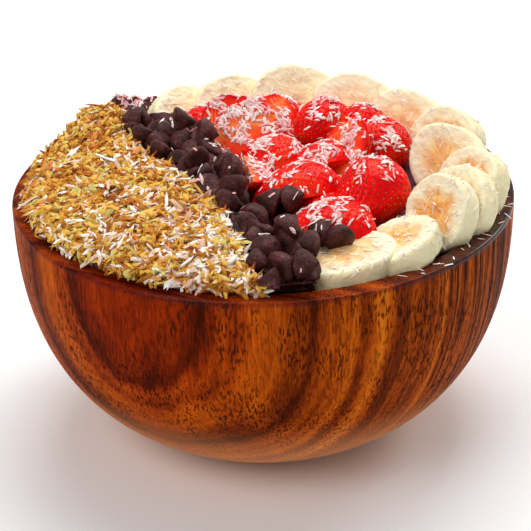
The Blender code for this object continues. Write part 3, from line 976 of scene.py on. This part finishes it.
def build_banana(number, slice_data, finish):
    """A slice: a lobed outline, a ragged wall and a face that dips round its middle."""
    azimuth, lean, facing, length, width, thickness = slice_data
    node = f"banana_slice_{number:02d}"
    bm = bmesh.new()
    local = bm.verts.layers.float_vector.new("slice")
    half = thickness / 2
    seed = Vector((number * 17.0, 0, 0))

    def outline(angle):
        three = 0.018 * math.cos(3 * angle + number)
        five = 0.012 * math.cos(5 * angle - 2 * number)
        return 1 + three + five

    def vertex(angle, share, z):
        u = share * math.cos(angle)
        v = share * math.sin(angle)
        lobes = outline(angle)
        spot = Vector((u * length / 2 * lobes, v * width / 2 * lobes, z))
        lumps = ragged(spot + seed, 4.2, 0.38)
        fuzz = ragged(spot + seed, 1.3, 0.24)
        if share > 0.98:
            spot.x *= 1 + (lumps + fuzz) * 0.06
            spot.y *= 1 + (lumps + fuzz) * 0.06
        else:
            spot.z += (lumps + fuzz * share) * (1 if z > 0 else -1)
        vert = bm.verts.new(spot * MM)
        vert[local] = Vector((u, v, z / half))
        return vert

    def face_height(angle, share):
        """The cut face: a rounded edge, a shallow ring and a three-lobed middle."""
        edge = max(0.0, share - 1 + BANANA_ROUNDING / (width / 2)) / (BANANA_ROUNDING / (width / 2))
        rounding = BANANA_ROUNDING * (1 - math.sqrt(max(0.0, 1 - edge**2)))
        lobes = 0.46 * (1 + 0.14 * math.cos(3 * angle + number))
        dip = 0.22 * math.exp(-(((share - lobes) / 0.12) ** 2))
        hub = 0.3 * math.exp(-((share / 0.12) ** 2))
        return half - rounding - dip - hub

    def ring(share, z_of):
        angles = [2 * math.pi * i / BANANA_AROUND for i in range(BANANA_AROUND)]
        return [vertex(angle, share, z_of(angle, share)) for angle in angles]

    rings = []
    shares = [i / BANANA_FACE_RINGS for i in range(1, BANANA_FACE_RINGS + 1)]
    for share in shares:
        rings.append(ring(share, face_height))
    top = half - BANANA_ROUNDING
    for row in range(1, BANANA_WALL_ROWS + 1):
        z = top - 2 * top * row / BANANA_WALL_ROWS
        rings.append(ring(1.0, lambda angle, share, z=z: z))
    for share in (0.94, 0.6, 0.3):
        rings.append(ring(share, lambda angle, share: -half))
    front = vertex(0.0, 0.0, face_height(0.0, 0.0))
    back = vertex(0.0, 0.0, -half)
    for i in range(BANANA_AROUND):
        j = (i + 1) % BANANA_AROUND
        bm.faces.new((front, rings[0][i], rings[0][j]))
        for inner, outer in zip(rings, rings[1:]):
            bm.faces.new((inner[i], outer[i], outer[j], inner[j]))
        bm.faces.new((rings[-1][i], back, rings[-1][j]))
    bm.transform(turn_to(compass(facing, 90 - lean), compass(azimuth + 90, 0)))
    bmesh.ops.recalc_face_normals(bm, faces=bm.faces)
    fit_to_node(bm, node)
    mesh = smooth_mesh(f"banana_{number:02d}", bm, 70)
    ripe = mesh.attributes.new("ripe", "FLOAT", "POINT")
    ripest = 0.25 + 0.75 * max(0.0, compass(azimuth - RIPEST_SIDE, 0).x)
    ripe.data.foreach_set("value", [ripest] * len(mesh.vertices))
    return settled(add_piece(mesh.name, mesh, finish), "banana", node)


# ------------------------------------------------------------------ strawberries

BERRY_AROUND = 160
BERRY_RINGS = 88
BERRY_CUT_STEPS = 20
BERRY_TOP = 0.86
SEED_AREA = 5.6
PIT_DEPTH = 0.5
PIT_REACH = 0.72
GOLDEN_ANGLE = math.pi * (3 - math.sqrt(5))


def berry_point(length, width, number, from_top, around):
    """A point of the skin, in millimetres, with the tip down the Z axis."""
    fullness = 1 + 0.24 * math.cos(from_top)
    uneven = 1 + 0.035 * math.cos(2 * around + number) + 0.02 * math.cos(3 * around)
    reach = 0.5 * width * math.sin(from_top) * fullness * uneven
    height = 0.5 * length * min(math.cos(from_top), BERRY_TOP)
    return Vector((reach * math.cos(around), reach * math.sin(around), height))


def berry_outwards(point, length, width):
    """About the skin's normal at a point."""
    out = Vector((point.x / width**2, point.y / width**2, point.z / length**2))
    return out.normalized()


def build_berry(number, berry_data, skin, flesh):
    """A strawberry piece; returns it with the places and directions of its seeds."""
    length, width, cut, tip_azimuth, tip_rise, face_azimuth, face_rise = berry_data
    node = f"strawberry_{number:02d}"
    start, end = {"whole": (0, 360), "half": (90, 270), "quarter": (180, 270)}[cut]
    start, end = math.radians(start), math.radians(end)
    seeds = []
    count = round(2.9 * length * width / SEED_AREA)
    for i in range(count):
        from_top = math.acos(BERRY_TOP - (BERRY_TOP + 0.985) * (i + 0.5) / count)
        around = (i * GOLDEN_ANGLE) % (2 * math.pi)
        if start + 0.08 < around < end - 0.08 or cut == "whole":
            place = berry_point(length, width, number, from_top, around)
            seeds.append((place, berry_outwards(place, length, width)))
    tree = kdtree.KDTree(len(seeds))
    for i, (place, _) in enumerate(seeds):
        tree.insert(place, i)
    tree.balance()

    bm = bmesh.new()
    pit_layer = bm.verts.layers.float.new("pit")
    cut_layer = bm.verts.layers.float_vector.new("cut")

    def skin_vertex(from_top, around):
        place = berry_point(length, width, number, from_top, around)
        _, _, distance = tree.find(place)
        pit = math.exp(-((distance / PIT_REACH) ** 2))
        swell = ragged(place + Vector((number * 9.0, 0, 0)), 7.0, 0.35)
        out = berry_outwards(place, length, width)
        vert = bm.verts.new((place + out * (swell - PIT_DEPTH * pit)) * MM)
        vert[pit_layer] = pit
        vert[cut_layer] = Vector((1.0, place.z / (length / 2), 0))
        return vert

    def cut_vertex(edge, share, height):
        """A point of the cut face, on the way from the core, share 0, to the skin, share 1."""
        axis = Vector((0, 0, height * MM))
        place = axis.lerp(edge, share)
        vert = bm.verts.new(place)
        bulge = ragged(place / MM + Vector((number * 5.0, 0, 0)), 2.4, 0.3) * (1 - share**4)
        vert.co += face_out * bulge * MM
        vert[cut_layer] = Vector((share, height / (length / 2), 0))
        return vert

    face_out = Vector((1, 0, 0)) if cut == "half" else Vector((0.7, 0.7, 0))
    steps = max(8, round(BERRY_AROUND * (end - start) / (2 * math.pi)))
    rings = []
    for i in range(1, BERRY_RINGS):
        from_top = math.pi * i / BERRY_RINGS
        spread = steps if cut == "whole" else steps + 1
        ring = [skin_vertex(from_top, start + (end - start) * j / steps) for j in range(spread)]
        if cut != "whole":
            height = 0.5 * length * min(math.cos(from_top), BERRY_TOP)
            last, first = ring[-1].co.copy(), ring[0].co.copy()
            shares = [1 - j / BERRY_CUT_STEPS for j in range(1, BERRY_CUT_STEPS)]
            ring += [cut_vertex(last, share, height) for share in shares]
            ring += [cut_vertex(last, 0.0, height)]
            ring += [cut_vertex(first, share, height) for share in reversed(shares)]
        rings.append(ring)
    top = bm.verts.new((0, 0, 0.5 * length * BERRY_TOP * MM))
    tip = bm.verts.new((0, 0, -0.5 * length * MM))
    size = len(rings[0])
    for j in range(size):
        k = (j + 1) % size
        on_cut = cut != "whole" and j >= steps
        made = [bm.faces.new((top, rings[0][j], rings[0][k]))]
        for upper, lower in zip(rings, rings[1:]):
            made.append(bm.faces.new((upper[j], lower[j], lower[k], upper[k])))
        made.append(bm.faces.new((rings[-1][j], tip, rings[-1][k])))
        for made_face in made:
            made_face.material_index = 1 if on_cut else 0

    face = compass(face_azimuth, face_rise) if cut != "whole" else compass(tip_azimuth + 90, 0)
    turn = turn_to(-compass(tip_azimuth, tip_rise), face)
    bm.transform(turn)
    bmesh.ops.recalc_face_normals(bm, faces=bm.faces)
    shift = fit_to_node(bm, node)
    mesh = smooth_mesh(f"berry_{number:02d}", bm, 50)
    berry = settled(add_piece(mesh.name, mesh, skin, flesh), "strawberry", node)
    placed = []
    for place, out in seeds:
        sunk = (place - out * PIT_DEPTH * 0.75) * MM
        placed.append((turn @ sunk + shift, turn.to_3x3() @ out))
    return berry, placed


def seed_tree():
    """A seed at each point, lying in its pit."""
    tree = bpy.data.node_groups.new("seeds_in_pits", "GeometryNodeTree")
    face = tree.interface
    face.new_socket("Geometry", in_out="INPUT", socket_type="NodeSocketGeometry")
    face.new_socket("Length", in_out="INPUT", socket_type="NodeSocketFloat")
    face.new_socket("Seed", in_out="INPUT", socket_type="NodeSocketInt")
    face.new_socket("Finish", in_out="INPUT", socket_type="NodeSocketMaterial")
    face.new_socket("Geometry", in_out="OUTPUT", socket_type="NodeSocketGeometry")
    graph = Graph(tree)
    given = graph.node("NodeGroupInput")
    ball = graph.node("GeometryNodeMeshUVSphere", {}, {"Segments": 7, "Rings": 5, "Radius": 0.5})
    grain = graph.node("GeometryNodeTransform", {}, {"Geometry": ball, "Scale": (0.62, 1.0, 0.5)})
    out = graph.node("GeometryNodeInputNamedAttribute", {"data_type": "FLOAT_VECTOR"}, {"Name": "out"})
    facing = graph.node("FunctionNodeAlignRotationToVector", {"axis": "Z"}, {"Vector": out})
    size = given.output("Length") * random_between(graph, 0.8, 1.15, given.output("Seed"))
    seeds = graph.node(
        "GeometryNodeInstanceOnPoints",
        {},
        {"Points": given, "Instance": grain, "Rotation": facing, "Scale": size},
    )
    real = graph.node("GeometryNodeRealizeInstances", {}, {"Geometry": seeds})
    done = graph.node("GeometryNodeSetMaterial", {}, {"Geometry": real, "Material": given.output("Finish")})
    graph.node("NodeGroupOutput", {}, {"Geometry": done})
    return tree


def build_seeds(placed):
    mesh = bpy.data.meshes.new("seed_places")
    mesh.from_pydata([place for place, _ in placed], [], [])
    out = mesh.attributes.new("out", "FLOAT_VECTOR", "POINT")
    out.data.foreach_set("vector", [number for _, direction in placed for number in direction])
    seeds = grown(
        "strawberry_seeds",
        mesh,
        seed_tree(),
        Length=1.05 * MM,
        Seed=3,
        Finish=seed_finish(),
    )
    seeds.data.shade_smooth()
    return settled(seeds, "strawberry")


# ------------------------------------------------------------------ white coconut


def joined_mesh(name, objects):
    bm = bmesh.new()
    for obj in objects:
        bm.from_mesh(obj.data)
    mesh = bpy.data.meshes.new(name)
    bm.to_mesh(mesh)
    bm.free()
    return mesh


def sprinkle_middles():
    """Where white coconut was thrown: x, y, radius and amount of each patch."""
    middles = []
    for number, (radius, amount) in SPRINKLED_BERRIES.items():
        low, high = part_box(f"strawberry_{number:02d}")
        middles.append(((low[0] + high[0]) / 2, (low[1] + high[1]) / 2, radius * MM, amount))
    low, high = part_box("chocolate_chip_heap")
    for across, back, radius, amount in SPRINKLED_CHIPS:
        x = low[0] + across * (high[0] - low[0])
        y = low[1] + back * (high[1] - low[1])
        middles.append((x, y, radius * MM, amount))
    return middles


def on_fruit(place, normal):
    """How thickly white coconut lies at a place on the berries and the chips."""
    if normal.z < 0.1:
        return 0.0
    thickest = 0.015
    for x, y, radius, amount in SPRINKLE_MIDDLES:
        away = math.hypot(place.x - x, place.y - y) / radius
        thickest = max(thickest, amount * math.exp(-(away**2) * 1.4))
    clusters = max(0.0, 0.36 + 1.5 * noise.noise(place / (5 * MM)))
    return thickest * clusters * min(1.0, normal.z * 1.6)


SPRINKLE_MIDDLES = sprinkle_middles()


def on_slices(place, normal):
    """Fine coconut on the banana slices, more at the front right."""
    if normal.z < 0.2:
        return 0.0
    nearness = 0.5 - 0.5 * place.y / BOWL_RADIUS
    return (0.25 + 0.75 * nearness) * (0.5 + 0.5 * noise.noise(place / (9 * MM)))


def on_rim(place, normal):
    """Flecks that fell on the rim, on the right of the bowl."""
    direction = math.degrees(math.atan2(place.y, place.x))
    on_top = normal.z > 0.7 and place.z > BOWL_HEIGHT - RIM_INNER_ROUND
    return 1.0 if on_top and -62 < direction < 2 else 0.0


def build_sprinkles(tree, berries, chips, bananas, bowl):
    layers = {
        "white_shreds_on_fruit": (berries + [chips], on_fruit, 2100e3, FINE_SLIVERS, WHITE_STOPS, 41),
        "white_shreds_on_slices": (bananas, on_slices, 240e3, FLECKS, FLECK_STOPS, 53),
        "white_shreds_on_rim": ([bowl], on_rim, 60e3, FLECKS, FLECK_STOPS, 67),
    }
    for name, (objects, weigh, density, sizes, stops, seed) in layers.items():
        base = joined_mesh(name + "_base", objects)
        obj = grown(
            name,
            weighted(base, weigh),
            tree,
            Density=density,
            Tilt=0.14,
            Lowest=0.05 * MM,
            Highest=0.35 * MM,
            Smallest=sizes[0],
            Largest=sizes[1],
            Seed=seed,
            Finish=shred_finish(name, *stops),
        )
        bpy.data.meshes.remove(base)
        settled(obj, "white_coconut")


# ------------------------------------------------------------------ stage

CAMERA_AIM = Vector((0.0003, 0.0, 0.0582))
CAMERA_DISTANCE = 0.70
CAMERA_ELEVATION = 26.8
CAMERA_ROLL = -1.27
CAMERA_LENS = 130.4


def build_camera():
    data = bpy.data.cameras.new("camera")
    data.lens = CAMERA_LENS
    data.sensor_width = 36.0
    camera = bpy.data.objects.new("camera", data)
    bpy.context.scene.collection.objects.link(camera)
    back = compass(-90, CAMERA_ELEVATION)
    upright = turn_to(back, Vector((1, 0, 0)))
    roll = Matrix.Rotation(math.radians(CAMERA_ROLL), 4, "Z")
    camera.matrix_world = Matrix.Translation(CAMERA_AIM + back * CAMERA_DISTANCE) @ upright @ roll
    bpy.context.scene.camera = camera


def add_lamp(name, azimuth, rise, distance, size, power):
    """A soft square lamp that faces the bowl."""
    data = bpy.data.lights.new(name, "AREA")
    data.size = size
    data.energy = power
    lamp = bpy.data.objects.new(name, data)
    bpy.context.scene.collection.objects.link(lamp)
    away = compass(azimuth, rise)
    side = Vector((0, 1, 0)) if abs(away.z) > 0.99 else Vector((-away.y, away.x, 0))
    lamp.matrix_world = Matrix.Translation(CAMERA_AIM + away * distance) @ turn_to(away, side)


def build_stage():
    bm = bmesh.new()
    bmesh.ops.create_grid(bm, x_segments=2, y_segments=2, size=4.0)
    floor = add_piece("floor", smooth_mesh("floor", bm), floor_finish())
    add_lamp("key", -135, 42, 1.3, 0.7, 5.5)
    add_lamp("top", 80, 68, 1.3, 0.9, 12.5)
    add_lamp("edge", 40, 30, 1.3, 0.5, 4)
    world = bpy.data.worlds.new("studio")
    world.use_nodes = True
    world.node_tree.nodes["Background"].inputs["Strength"].default_value = 0.38
    world.node_tree.nodes["Background"].inputs["Color"].default_value = (1, 1, 1, 1)
    bpy.context.scene.world = world
    bpy.context.scene.view_settings.view_transform = "Standard"


# ------------------------------------------------------------------ the bowl of food


def main():
    build_camera()
    build_stage()
    bowl = build_bowl()
    build_acai()
    shreds = shred_tree()
    build_coconut(shreds)
    chips = build_chips()
    flesh = banana_finish()
    bananas = [build_banana(i + 1, data, flesh) for i, data in enumerate(BANANA_SLICES)]
    skin, cut_face = berry_finish(), cut_berry_finish()
    berries, seeds = [], []
    for i, data in enumerate(STRAWBERRIES):
        berry, placed = build_berry(i + 1, data, skin, cut_face)
        berries.append(berry)
        seeds += placed
    build_seeds(seeds)
    build_sprinkles(shreds, berries, chips, bananas, bowl)


main()
